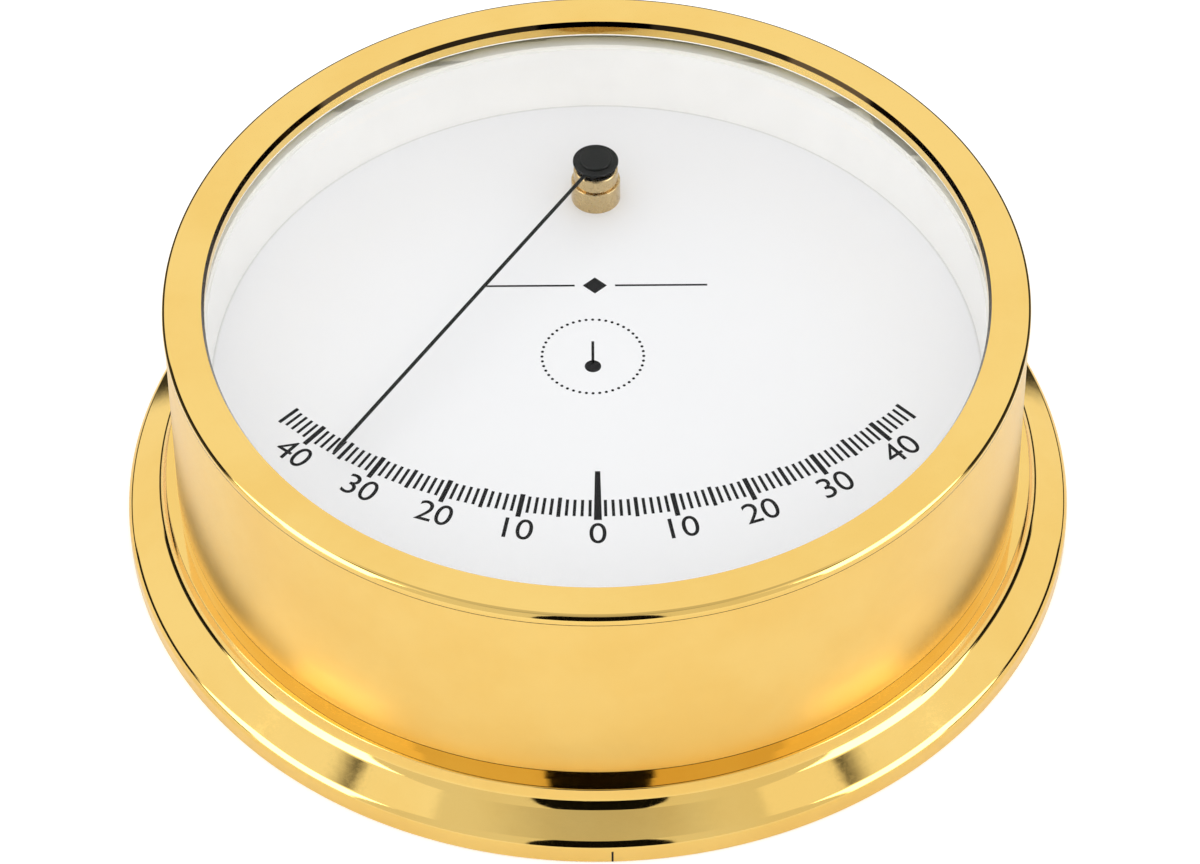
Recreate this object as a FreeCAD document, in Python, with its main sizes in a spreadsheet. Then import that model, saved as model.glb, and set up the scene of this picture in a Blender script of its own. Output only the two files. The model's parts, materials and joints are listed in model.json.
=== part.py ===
import FreeCAD, Part
import math
import os

import Sketcher

V = FreeCAD.Vector

doc = FreeCAD.newDocument("Clinometer")

# Driving dimensions
# Millimetres and degrees. The case lies on its back: z = 0 is the back of the flange, +Z comes out of
# the dial, and -Y is the side of the zero mark.
SIZES = [
    ("flange_radius", 60.0, "outer radius of the foot flange"),
    ("flange_edge_break", 0.2, "chamfer round the back edge of the flange"),
    ("rim_wall_height", 2.05, "straight wall of the flange's rim"),
    ("rim_round", 1.45, "round between the rim wall and the slope"),
    ("slope_fall", 30.5, "fall of the flange's slope, in degrees from level"),
    ("cove_radius", 2.0, "hollow between the slope and the step"),
    ("step_width", 1.45, "how far the step stands out from the drum at its top"),
    ("step_draft", 11.0, "lean of the step's side, in degrees from upright"),
    ("step_edge", 0.15, "break of the step's upper edge"),
    ("step_rise", 1.1, "height of the step above the hollow"),
    ("ledge_fall", 0.03, "fall of the step's top, from the drum outwards"),
    ("flange_width", 6.5, "how far the flange stands out from the drum"),
    ("drum_wall", 1.5, "thickness of the drum's wall"),
    ("drum_top", 36.3, "height of the drum's open end"),
    ("flange_wall", 1.3, "thickness of the flange's moulding"),
    ("rim_wall", 1.8, "wall of the rim round the back plate"),
    ("back_land", 1.8, "width of the recess's step"),
    ("bezel_overhang", 0.13, "how far the bezel stands proud of the drum"),
    ("bezel_height", 1.3, "bezel above the drum's end"),
    ("bezel_outer_round", 0.9, "round on the bezel's outer edge"),
    ("bezel_bevel_width", 0.33, "width of the bevel on the bezel's inner edge"),
    ("bezel_bevel_height", 0.65, "height of that bevel"),
    ("bezel_rim", 4.91, "bezel from its outer side to the inner edge of its face"),
    ("bezel_lip", 1.9, "thickness of the bezel's lip"),
    ("skirt_length", 4.3, "bezel skirt inside the drum"),
    ("skirt_gap", 0.1, "clearance of the skirt in the drum"),
    ("skirt_wall", 1.2, "thickness of the skirt"),
    ("glass_thickness", 2.0, "thickness of the pane"),
    ("glass_gap", 0.1, "clearance round the pane"),
    ("glass_edge", 0.2, "ground edge of the pane"),
    ("seal_thickness", 0.2, "seal between lip and pane"),
    ("seal_width", 2.2, "width of the seal between lip and pane"),
    ("gasket_thickness", 0.5, "gasket between pane and spacer ring"),
    ("gasket_width", 1.9, "width of the gasket"),
    ("spacer_wall", 2.17, "wall of the spacer ring"),
    ("spacer_gap", 0.2, "clearance round the spacer ring"),
    ("dial_height", 23.0, "height of the dial's face"),
    ("dial_thickness", 1.0, "thickness of the dial plate"),
    ("dial_gap", 0.4, "clearance round the dial plate"),
    ("seat_height", 2.5, "thickness of the dial's seat ring"),
    ("seat_width", 5.0, "width of the seat ring"),
    ("pin_inset", 1.27, "distance of the dial's pins outside the spacer's bore"),
    ("pin_radius", 0.75, "radius of a dial pin"),
    ("pin_gap", 0.05, "clearance of the pin in the dial"),
    ("pin_depth", 2.0, "depth of the pin in the seat ring"),
    ("pivot_inset", 17.03, "distance of the pivot inside the spacer's bore"),
    ("post_height", 5.3, "height of the post above the dial"),
    ("collar_radius", 3.15, "radius of the post's foot"),
    ("collar_height", 2.7, "height of the post's foot"),
    ("waist_radius", 2.65, "radius of the post above its foot"),
    ("head_radius", 2.9, "radius of the post's head"),
    ("head_height", 1.8, "height of the flared head"),
    ("waist_bevel", 0.3, "bevel between foot and waist"),
    ("shank_radius", 1.8, "radius of the post's shank behind the dial"),
    ("shank_length", 5.0, "length of the shank below the dial's face"),
    ("shank_gap", 0.05, "clearance of the shank in the dial"),
    ("bush_radius", 1.4, "outer radius of a bush"),
    ("bush_length", 1.2, "length of a bush"),
    ("bore_relief", 0.35, "extra radius of the post's bore between the bushes"),
    ("arbor_radius", 0.75, "radius of the spindle"),
    ("arbor_clearance", 0.03, "radial clearance of the spindle in its bushes"),
    ("arbor_tail", 1.0, "spindle behind the collar"),
    ("washer_radius", 4.5, "radius of the washer behind the dial"),
    ("washer_thickness", 0.6, "thickness of that washer"),
    ("nut_across_flats", 7.0, "post nut across flats"),
    ("nut_height", 2.4, "height of the post nut"),
    ("end_float", 0.05, "axial play of the spindle"),
    ("thrust_radius", 1.6, "radius of the thrust washer"),
    ("thrust_thickness", 0.25, "thickness of the thrust washer"),
    ("hub_radius", 2.93, "radius of the hub's disc"),
    ("hub_boss_radius", 1.7, "radius of the boss under the hub's disc"),
    ("hub_boss_height", 0.6, "height of that boss"),
    ("hub_thickness", 0.35, "thickness of the hub's disc"),
    ("hub_edge", 0.08, "break of the disc's edges"),
    ("cap_radius", 2.05, "radius of the cap on the hub"),
    ("cap_height", 0.35, "height of the cap"),
    ("cap_edge", 0.12, "break of the cap's edge"),
    ("needle_radius", 0.24, "radius of the needle's wire"),
    ("needle_margin", 22.23, "room below the needle's tip on the zero line"),
    ("needle_root", 1.2, "distance from the pivot to the wire's end in the hub"),
    ("needle_tip_height", 3.0, "height of the needle's tip above the dial"),
    ("needle_tip_length", 1.2, "length of the needle's tapered tip"),
    ("needle_tip_radius", 0.12, "radius at the very tip"),
    ("rest_angle", 34.4, "needle's angle left of the zero mark"),
    ("clip_radius", 1.8, "radius of the spindle's clip"),
    ("clip_thickness", 0.4, "thickness of the clip"),
    ("clip_opening", 1.0, "width of the clip's mouth"),
    ("arm_width", 4.0, "width of the pendulum's arm"),
    ("arm_thickness", 1.0, "thickness of the arm"),
    ("arm_eye_radius", 3.6, "radius of the arm's eye"),
    ("arm_end_radius", 3.0, "radius of the arm's end on the bob"),
    ("arm_drop", 0.35, "distance from the clip to the arm"),
    ("boss_radius", 3.0, "radius of the collar on the spindle"),
    ("boss_height", 3.4, "height of that collar"),
    ("set_screw_radius", 0.8, "radius of the collar's set screw"),
    ("set_screw_socket", 0.45, "radius of the set screw's socket"),
    ("set_screw_sink", 0.2, "distance of the set screw's end below the collar's side"),
    ("bob_reach", 32.0, "distance from the pivot to the bob's centre"),
    ("bob_radius", 9.0, "radius of the bob"),
    ("bob_height", 6.0, "thickness of the bob"),
    ("bob_edge", 0.6, "break of the bob's edges"),
    ("bob_screw_radius", 1.25, "radius of the bob's screw"),
    ("bob_screw_head", 2.2, "head radius of the bob's screw"),
    ("bob_screw_head_height", 1.2, "head height of the bob's screw"),
    ("bob_screw_depth", 4.0, "depth of that screw in the bob"),
    ("slot_width", 0.6, "width of a screw's slot"),
    ("slot_depth", 0.5, "depth of a screw's slot"),
    ("back_plate_thickness", 1.5, "thickness of the back plate"),
    ("back_plate_gap", 0.1, "clearance round the back plate"),
    ("back_seal_thickness", 0.5, "thickness of the back seal"),
    ("bulkhead_inset", 14.0, "distance of the bulkhead screws inside the drum's bore"),
    ("bulkhead_hole", 2.25, "radius of a bulkhead screw hole"),
    ("lug_screw_inset", 3.7, "distance of the back screws inside the drum's bore"),
    ("lug_depth", 6.4, "radial depth of a lug"),
    ("lug_width", 9.0, "width of a lug"),
    ("lug_height", 11.0, "height of a lug"),
    ("lug_angle", 45.0, "angle of the first lug"),
    ("lug_screw_radius", 1.5, "radius of a back screw"),
    ("lug_screw_head", 2.8, "head radius of a back screw"),
    ("lug_screw_length", 7.0, "length of a back screw"),
    ("lug_screw_gap", 0.05, "clearance of a back screw in the plate"),
    ("lug_screw_cone", 1.3, "height of a back screw's countersunk head"),
    ("lug_hole_spare", 0.5, "tapped hole beyond the screw's end"),
    ("cut_spare", 1.0, "how far a cut reaches beyond the piece"),
    ("mark_width", 0.25, "width of the index mark in the rim wall"),
    ("mark_depth", 0.2, "depth of the index mark"),
    ("mark_offset", 1.5, "distance of the index mark from the middle"),
]

LUG_COUNT = 4
BULKHEAD_HOLE_COUNT = 3
NUT_SIDES = 6

sheet = doc.addObject("Spreadsheet::Sheet", "Sizes")
for row, (name, value, meaning) in enumerate(SIZES, start=1):
    sheet.set("A%d" % row, name)
    sheet.set("B%d" % row, str(value))
    sheet.set("C%d" % row, meaning)
    sheet.setAlias("B%d" % row, name)
doc.recompute()

# Radii and places that follow from the driving dimensions
drum_radius = "(Sizes.flange_radius - Sizes.flange_width)"
drum_bore = "(%s - Sizes.drum_wall)" % drum_radius
step_radius = "(%s + Sizes.step_width)" % drum_radius
back_recess_radius = "(Sizes.flange_radius - Sizes.rim_wall)"
bezel_radius = "(%s + Sizes.bezel_overhang)" % drum_radius
bezel_face_radius = "(%s - Sizes.bezel_rim)" % bezel_radius
skirt_radius = "(%s - Sizes.skirt_gap)" % drum_bore
skirt_bore = "(%s - Sizes.skirt_wall)" % skirt_radius
spacer_radius = "(%s - Sizes.spacer_gap)" % skirt_bore
spacer_bore = "(%s - Sizes.spacer_wall)" % spacer_radius
pin_circle = "(%s + Sizes.pin_inset)" % spacer_bore
pivot_offset = "(%s - Sizes.pivot_inset)" % spacer_bore
needle_reach = "(%s + %s - Sizes.needle_margin)" % (pivot_offset, spacer_bore)
bulkhead_circle = "(%s - Sizes.bulkhead_inset)" % drum_bore
lug_circle = "(%s - Sizes.lug_screw_inset)" % drum_bore


def number(expression):
    """Value of an expression of the sheet's sizes."""
    return float(sheet.evalExpression(expression))


def origin_plane(body, role):
    """The body's own origin plane or axis of that role."""
    for feature in body.Origin.OriginFeatures:
        if feature.Role == role:
            return feature
    raise ValueError(role)


class Outline:
    """A closed sketch outline whose every corner is bound to expressions of the sheet."""

    def __init__(self, body, name, role="XZ_Plane", height=None):
        self.sketch = body.newObject("Sketcher::SketchObject", name)
        self.sketch.AttachmentSupport = [(origin_plane(body, role), "")]
        self.sketch.MapMode = "FlatFace"
        if height is not None:
            self.sketch.setExpression("AttachmentOffset.Base.z", height)

    def bind(self, kind, arguments, expression):
        """A dimension that follows an expression."""
        index = self.sketch.addConstraint(Sketcher.Constraint(kind, *arguments, number(expression)))
        self.sketch.setExpression("Constraints[%d]" % index, expression)

    def place(self, geometry, point, across, up):
        """Tie a geometry's point to a place; a zero puts it on the axis."""
        for kind, axis, expression in (("DistanceX", -2, across), ("DistanceY", -1, up)):
            if expression == "0":
                self.sketch.addConstraint(Sketcher.Constraint("PointOnObject", geometry, point, axis))
            else:
                self.bind(kind, (-1, 1, geometry, point), expression)

    def loop(self, corners):
        """Corners in order. A third item is the radius of the arc that leads to that corner, and a
        fourth tells whether the arc turns left (1) or right (-1)."""
        spots = [V(number(corner[0]), number(corner[1]), 0) for corner in corners]
        first = self.sketch.GeometryCount
        for index, corner in enumerate(corners):
            start, end = spots[index - 1], spots[index]
            if len(corner) == 2:
                self.sketch.addGeometry(Part.LineSegment(start, end))
            else:
                self.sketch.addGeometry(arc_between(start, end, number(corner[2]), corner[3]))
        count = len(corners)
        for index, corner in enumerate(corners):
            line = first + index
            follower = first + (index + 1) % count
            end_point = 2 if len(corner) == 2 or corner[3] > 0 else 1
            next_corner = corners[(index + 1) % count]
            start_point = 1 if len(next_corner) == 2 or next_corner[3] > 0 else 2
            self.sketch.addConstraint(
                Sketcher.Constraint("Coincident", line, end_point, follower, start_point))
            self.place(line, end_point, corner[0], corner[1])
            if len(corner) > 2:
                self.bind("Radius", (line,), corner[2])
        return self

    def circle(self, across, up, radius):
        """A full circle."""
        centre = V(number(across), number(up), 0)
        index = self.sketch.addGeometry(Part.Circle(centre, V(0, 0, 1), number(radius)))
        self.place(index, 3, across, up)
        self.bind("Radius", (index,), radius)
        return self


def arc_between(start, end, radius, turn):
    """Minor arc from start to end that turns left (1) or right (-1)."""
    chord = end - start
    middle = (start + end) * 0.5
    rise = math.sqrt(max(radius ** 2 - chord.Length ** 2 / 4, 0.0))
    side = V(-chord.y, chord.x, 0).normalize()
    centre = middle + side * (rise * turn)
    first, last = (start, end) if turn > 0 else (end, start)
    circle = Part.Circle(centre, V(0, 0, 1), radius)
    angles = [math.atan2(spot.y - centre.y, spot.x - centre.x) for spot in (first, last)]
    if angles[1] < angles[0]:
        angles[1] += 2 * math.pi
    return Part.ArcOfCircle(circle, angles[0], angles[1])


def new_body(name, on_pivot=False):
    """An empty body, at the case's axis or at the pivot."""
    body = doc.addObject("PartDesign::Body", name)
    body.Label = name
    if on_pivot:
        body.setExpression("Placement.Base.y", pivot_offset)
    return body


def turned(name, corners, on_pivot=False):
    """A body turned about its axis from an outline of (radius, height) corners."""
    body = new_body(name, on_pivot)
    outline = Outline(body, name + "_outline").loop(corners)
    turn = body.newObject("PartDesign::Revolution", name + "_turn")
    turn.Profile = outline.sketch
    turn.ReferenceAxis = (outline.sketch, ["V_Axis"])
    turn.Angle = 360
    body.Tip = turn
    return body


def flat_ring(name, inner, outer, bottom, top, on_pivot=False):
    """A flat ring between two radii and two heights."""
    return turned(name, [(outer, bottom), (outer, top), (inner, top), (inner, bottom)], on_pivot)


def pad(body, outline, length, name, reverse=False):
    """Material grown from an outline."""
    feature = body.newObject("PartDesign::Pad", name)
    feature.Profile = outline.sketch
    feature.setExpression("Length", length)
    feature.Reversed = reverse
    body.Tip = feature
    doc.recompute()
    return feature


def pocket(body, outline, length, name, reverse=False):
    """Material taken away; it has to take something."""
    before = body.Shape.Volume
    feature = body.newObject("PartDesign::Pocket", name)
    feature.Profile = outline.sketch
    feature.setExpression("Length", length)
    feature.Reversed = reverse
    body.Tip = feature
    doc.recompute()
    if body.Shape.Volume >= before:
        raise RuntimeError(name + " takes nothing away")
    return feature


def repeat(body, feature, count, name):
    """The feature, repeated round the body's Z axis."""
    pattern = body.newObject("PartDesign::PolarPattern", name)
    pattern.Originals = [feature]
    pattern.Axis = (origin_plane(body, "Z_Axis"), [""])
    pattern.Angle = 360
    pattern.Occurrences = count
    body.Tip = pattern
    doc.recompute()
    return pattern


def turn_to_rest(body):
    """Turn a body that is drawn pointing along +Y to the pendulum's rest angle."""
    body.Placement = FreeCAD.Placement(V(0, 0, 0), FreeCAD.Rotation(V(0, 0, 1), 90))
    body.setExpression("Placement.Base.y", pivot_offset)
    body.setExpression("Placement.Rotation.Angle", "(180 - Sizes.rest_angle) * 1 deg")


def put(item, across="0", up="0", height="0"):
    """Bind an object's place to expressions of the sheet."""
    for axis, expression in (("x", across), ("y", up), ("z", height)):
        if expression != "0":
            item.setExpression("Placement.Base." + axis, expression)
    return item


def cylinder(name, radius, length, **place):
    """A plain round pin or hole."""
    item = doc.addObject("Part::Cylinder", name)
    item.setExpression("Radius", radius)
    item.setExpression("Height", length)
    return put(item, **place)


def box(name, length, width, thickness, **place):
    """A plain block."""
    item = doc.addObject("Part::Box", name)
    item.setExpression("Length", length)
    item.setExpression("Width", width)
    item.setExpression("Height", thickness)
    return put(item, **place)


def combine(kind, name, base, tool):
    """A cut, a union or the common part of two objects."""
    item = doc.addObject(kind, name)
    item.Base = base
    item.Tool = tool
    item.Label = name
    return item


def gather(name, items):
    """Separate solids of one kind as one node."""
    group = doc.addObject("Part::Compound", name)
    group.Links = items
    group.Label = name
    return group


def turned_copies(name, base, tool, count, first_angle):
    """The cut of base and tool, repeated round the case's axis."""
    copies = []
    for index in range(count):
        copy = combine("Part::Cut", "%s_%d" % (name, index + 1), base, tool)
        copy.Placement = FreeCAD.Placement(V(0, 0, 0), FreeCAD.Rotation(V(0, 0, 1), 90))
        copy.setExpression("Placement.Rotation.Angle",
                           "(%s + %d * 360 / %d) * 1 deg" % (first_angle, index, count))
        copies.append(copy)
    return gather(name, copies)


# Case
# The moulding falls from the drum over a ledge, a step, a hollow and a slope to the rim.
fall = "Sizes.slope_fall * 1 deg"
rim_crest_radius = "(Sizes.flange_radius - Sizes.rim_round * (1 - sin(%s)))" % fall
rim_crest_height = "(Sizes.rim_wall_height + Sizes.rim_round * cos(%s))" % fall
draft = "Sizes.step_draft * 1 deg"
step_foot_radius = "(%s + Sizes.step_rise * tan(%s))" % (step_radius, draft)
cove_foot_radius = "(%s + Sizes.cove_radius * (cos(%s) - sin(%s)))" % (step_foot_radius, draft, fall)
cove_foot_height = "(%s + (%s - %s) * tan(%s))" % (
    rim_crest_height, rim_crest_radius, cove_foot_radius, fall)
cove_top = "(%s + Sizes.cove_radius * (cos(%s) - sin(%s)))" % (cove_foot_height, fall, draft)
step_top = "(%s + Sizes.step_rise)" % cove_top
inner_slope_radius = "(%s - Sizes.back_land)" % back_recess_radius
inner_slope_height = "(%s - Sizes.flange_wall / cos(%s))" % (cove_foot_height, fall)
recess_depth = "(Sizes.back_plate_thickness + Sizes.back_seal_thickness)"

case_shell = turned("case_shell", [
    ("Sizes.flange_radius - Sizes.flange_edge_break", "0"),
    ("Sizes.flange_radius", "Sizes.flange_edge_break"),
    ("Sizes.flange_radius", "Sizes.rim_wall_height"),
    (rim_crest_radius, rim_crest_height, "Sizes.rim_round", 1),
    (cove_foot_radius, cove_foot_height),
    (step_foot_radius, cove_top, "Sizes.cove_radius", -1),
    (step_radius, "%s - Sizes.step_edge" % step_top),
    ("%s - Sizes.step_edge" % step_radius, step_top),
    (drum_radius, "%s + Sizes.ledge_fall" % step_top),
    (drum_radius, "Sizes.drum_top"),
    (drum_bore, "Sizes.drum_top"),
    (drum_bore, "%s - Sizes.flange_wall" % cove_top),
    (cove_foot_radius, inner_slope_height),
    (inner_slope_radius, recess_depth),
    (back_recess_radius, recess_depth),
    (back_recess_radius, "0"),
])
doc.recompute()

# A short upright index line is cut into the rim wall beside the zero mark.
mark = Outline(case_shell, "index_mark_outline", "XY_Plane").loop([
    ("Sizes.mark_offset - Sizes.mark_width / 2", "-(Sizes.flange_radius + Sizes.cut_spare)"),
    ("Sizes.mark_offset + Sizes.mark_width / 2", "-(Sizes.flange_radius + Sizes.cut_spare)"),
    ("Sizes.mark_offset + Sizes.mark_width / 2", "-(Sizes.flange_radius - Sizes.mark_depth)"),
    ("Sizes.mark_offset - Sizes.mark_width / 2", "-(Sizes.flange_radius - Sizes.mark_depth)"),
])
pocket(case_shell, mark, "Sizes.rim_wall_height", "index_mark", reverse=True)

# Bezel, pane and rings
bezel_top = "(Sizes.drum_top + Sizes.bezel_height)"
lip_bore = "(%s - Sizes.bezel_bevel_width)" % bezel_face_radius
lip_under = "(%s - Sizes.bezel_lip)" % bezel_top
skirt_end = "(Sizes.drum_top - Sizes.skirt_length)"

turned("bezel_ring", [
    (bezel_radius, "Sizes.drum_top"),
    (bezel_radius, "%s - Sizes.bezel_outer_round" % bezel_top),
    ("%s - Sizes.bezel_outer_round" % bezel_radius, bezel_top, "Sizes.bezel_outer_round", 1),
    (bezel_face_radius, bezel_top),
    (lip_bore, "%s - Sizes.bezel_bevel_height" % bezel_top),
    (lip_bore, lip_under),
    (skirt_bore, lip_under),
    (skirt_bore, skirt_end),
    (skirt_radius, skirt_end),
    (skirt_radius, "Sizes.drum_top"),
])

glass_radius = "(%s - Sizes.glass_gap)" % skirt_bore
glass_top = "(%s - Sizes.seal_thickness)" % lip_under
glass_bottom = "(%s - Sizes.glass_thickness)" % glass_top
turned("glass_pane", [
    ("0", glass_bottom),
    ("%s - Sizes.glass_edge" % glass_radius, glass_bottom),
    (glass_radius, "%s + Sizes.glass_edge" % glass_bottom),
    (glass_radius, "%s - Sizes.glass_edge" % glass_top),
    ("%s - Sizes.glass_edge" % glass_radius, glass_top),
    ("0", glass_top),
])
flat_ring("glass_seal", "%s - Sizes.seal_width" % glass_radius, glass_radius, glass_top, lip_under)

spacer_top = "(%s - Sizes.gasket_thickness)" % glass_bottom
flat_ring("spacer_gasket", "%s - Sizes.gasket_width" % glass_radius, glass_radius,
          spacer_top, glass_bottom)
flat_ring("spacer_ring", spacer_bore, spacer_radius, "Sizes.dial_height", spacer_top)

# Dial and its seat
dial_radius = "(%s - Sizes.dial_gap)" % drum_bore
dial_under = "(Sizes.dial_height - Sizes.dial_thickness)"
shank_hole = "(Sizes.shank_radius + Sizes.shank_gap)"

dial_plate = new_body("dial_plate")
dial_disc = Outline(dial_plate, "dial_outline", "XY_Plane", dial_under)
dial_disc.circle("0", "0", dial_radius)
dial_disc.circle("0", pivot_offset, shank_hole)
for side in ("", "-"):
    dial_disc.circle(side + pin_circle, "0", "Sizes.pin_radius + Sizes.pin_gap")
pad(dial_plate, dial_disc, "Sizes.dial_thickness", "dial_disc")

seat_bottom = "(%s - Sizes.seat_height)" % dial_under
dial_seat_ring = new_body("dial_seat_ring")
seat_disc = Outline(dial_seat_ring, "seat_outline", "XY_Plane", seat_bottom)
seat_disc.circle("0", "0", drum_bore)
seat_disc.circle("0", "0", "%s - Sizes.seat_width" % drum_bore)
pad(dial_seat_ring, seat_disc, "Sizes.seat_height", "seat_disc")
pin_holes = Outline(dial_seat_ring, "pin_holes_outline", "XY_Plane", dial_under)
for side in ("", "-"):
    pin_holes.circle(side + pin_circle, "0", "Sizes.pin_radius")
pocket(dial_seat_ring, pin_holes, "Sizes.pin_depth", "pin_holes")

pin_bottom = "(%s - Sizes.pin_depth)" % dial_under
pin_length = "Sizes.pin_depth + Sizes.dial_thickness"
gather("dial_pins", [
    cylinder("dial_pin_1", "Sizes.pin_radius", pin_length, across=pin_circle, height=pin_bottom),
    cylinder("dial_pin_2", "Sizes.pin_radius", pin_length, across="-" + pin_circle, height=pin_bottom),
])

# Post with its bushes, washer and nut
post_top = "(Sizes.dial_height + Sizes.post_height)"
collar_top = "(Sizes.dial_height + Sizes.collar_height)"
shank_end = "(Sizes.dial_height - Sizes.shank_length)"
post_bore = "(Sizes.arbor_radius + Sizes.bore_relief)"
turned("pivot_post", [
    ("Sizes.collar_radius", "Sizes.dial_height"),
    ("Sizes.collar_radius", collar_top),
    ("Sizes.waist_radius + Sizes.waist_bevel", collar_top),
    ("Sizes.waist_radius", "%s + Sizes.waist_bevel" % collar_top),
    ("Sizes.waist_radius", "%s - Sizes.head_height" % post_top),
    ("Sizes.head_radius", post_top),
    ("Sizes.bush_radius", post_top),
    ("Sizes.bush_radius", "%s - Sizes.bush_length" % post_top),
    (post_bore, "%s - Sizes.bush_length" % post_top),
    (post_bore, "%s + Sizes.bush_length" % shank_end),
    ("Sizes.bush_radius", "%s + Sizes.bush_length" % shank_end),
    ("Sizes.bush_radius", shank_end),
    ("Sizes.shank_radius", shank_end),
    ("Sizes.shank_radius", "Sizes.dial_height"),
], on_pivot=True)

bush_bore = "(Sizes.arbor_radius + Sizes.arbor_clearance)"
flat_ring("front_bush", bush_bore, "Sizes.bush_radius", "%s - Sizes.bush_length" % post_top,
          post_top, on_pivot=True)
flat_ring("rear_bush", bush_bore, "Sizes.bush_radius", shank_end,
          "%s + Sizes.bush_length" % shank_end, on_pivot=True)
washer_bottom = "(%s - Sizes.washer_thickness)" % dial_under
flat_ring("post_washer", shank_hole, "Sizes.washer_radius", washer_bottom, dial_under, on_pivot=True)

post_nut = new_body("post_nut", on_pivot=True)
nut_outline = Outline(post_nut, "nut_outline", "XY_Plane", "%s - Sizes.nut_height" % washer_bottom)
nut_corner = "Sizes.nut_across_flats / (2 * cos(180 deg / %d))" % NUT_SIDES
nut_outline.loop([
    ("%s * cos(%d * 360 deg / %d)" % (nut_corner, side, NUT_SIDES),
     "%s * sin(%d * 360 deg / %d)" % (nut_corner, side, NUT_SIDES))
    for side in range(NUT_SIDES)])
nut_outline.circle("0", "0", "Sizes.shank_radius")
pad(post_nut, nut_outline, "Sizes.nut_height", "nut_blank")

# Spindle, hub and needle
hub_bottom = "(%s + Sizes.end_float + Sizes.thrust_thickness)" % post_top
disc_bottom = "(%s + Sizes.hub_boss_height)" % hub_bottom
hub_top = "(%s + Sizes.hub_thickness)" % disc_bottom
clip_top = "(%s - Sizes.end_float)" % shank_end
arm_top = "(%s - Sizes.clip_thickness - Sizes.arm_drop)" % clip_top
arm_bottom = "(%s - Sizes.arm_thickness)" % arm_top
boss_bottom = "(%s - Sizes.boss_height)" % arm_bottom

turned("arbor", [
    ("0", "%s - Sizes.arbor_tail" % boss_bottom),
    ("Sizes.arbor_radius", "%s - Sizes.arbor_tail" % boss_bottom),
    ("Sizes.arbor_radius", hub_top),
    ("0", hub_top),
], on_pivot=True)
flat_ring("thrust_washer", "Sizes.arbor_radius", "Sizes.thrust_radius",
          "%s + Sizes.end_float" % post_top, hub_bottom, on_pivot=True)
hub_blank = turned("hub_blank", [
    ("Sizes.arbor_radius", hub_bottom),
    ("Sizes.hub_boss_radius", hub_bottom),
    ("Sizes.hub_boss_radius", disc_bottom),
    ("Sizes.hub_radius - Sizes.hub_edge", disc_bottom),
    ("Sizes.hub_radius", "%s + Sizes.hub_edge" % disc_bottom),
    ("Sizes.hub_radius", "%s - Sizes.hub_edge" % hub_top),
    ("Sizes.hub_radius - Sizes.hub_edge", hub_top),
    ("Sizes.arbor_radius", hub_top),
], on_pivot=True)
turned("hub_cap", [
    ("0", hub_top),
    ("Sizes.cap_radius", hub_top),
    ("Sizes.cap_radius", "%s + Sizes.cap_height - Sizes.cap_edge" % hub_top),
    ("Sizes.cap_radius - Sizes.cap_edge", "%s + Sizes.cap_height" % hub_top),
    ("0", "%s + Sizes.cap_height" % hub_top),
], on_pivot=True)

clip = new_body("arbor_clip", on_pivot=True)
clip_outline = Outline(clip, "clip_outline", "XY_Plane", "%s - Sizes.clip_thickness" % clip_top)
clip_outline.circle("0", "0", "Sizes.clip_radius")
clip_outline.circle("0", "0", "Sizes.arbor_radius")
pad(clip, clip_outline, "Sizes.clip_thickness", "clip_blank")
clip_mouth = Outline(clip, "clip_mouth_outline", "XY_Plane", clip_top).loop([
    ("Sizes.arbor_radius / 2", "-Sizes.clip_opening / 2"),
    ("Sizes.clip_radius + Sizes.cut_spare", "-Sizes.clip_opening / 2"),
    ("Sizes.clip_radius + Sizes.cut_spare", "Sizes.clip_opening / 2"),
    ("Sizes.arbor_radius / 2", "Sizes.clip_opening / 2"),
])
pocket(clip, clip_mouth, "Sizes.clip_thickness", "clip_mouth")

# The needle is a straight wire that slopes from the hub towards the dial and tapers at its tip.
needle_root_height = "(%s + Sizes.hub_boss_height / 2)" % hub_bottom
needle_drop = "(%s - Sizes.dial_height - Sizes.needle_tip_height)" % needle_root_height
needle_run = "(%s - Sizes.needle_root)" % needle_reach
needle_length = "sqrt(%s ^ 2 + %s ^ 2)" % (needle_run, needle_drop)
needle = turned("needle", [
    ("0", "0"),
    ("Sizes.needle_radius", "0"),
    ("Sizes.needle_radius", "%s - Sizes.needle_tip_length" % needle_length),
    ("Sizes.needle_tip_radius", needle_length),
    ("0", needle_length),
])
rest = "Sizes.rest_angle * 1 deg"
rest_turn = FreeCAD.Rotation(V(0, 0, 1), -number("Sizes.rest_angle"))
down_the_needle = rest_turn.multVec(V(0, -number(needle_run), -number(needle_drop)))


def along_needle(item):
    """Lay an object that is drawn along Z from its base along the needle."""
    item.Placement = FreeCAD.Placement(V(0, 0, 0), FreeCAD.Rotation(V(0, 0, 1), down_the_needle))
    return put(item, across="-Sizes.needle_root * sin(%s)" % rest,
               up="%s - Sizes.needle_root * cos(%s)" % (pivot_offset, rest), height=needle_root_height)


along_needle(needle)
wire_hole = along_needle(cylinder("wire_hole", "Sizes.needle_radius", "Sizes.hub_radius"))
combine("Part::Cut", "needle_hub", hub_blank, wire_hole)

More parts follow.
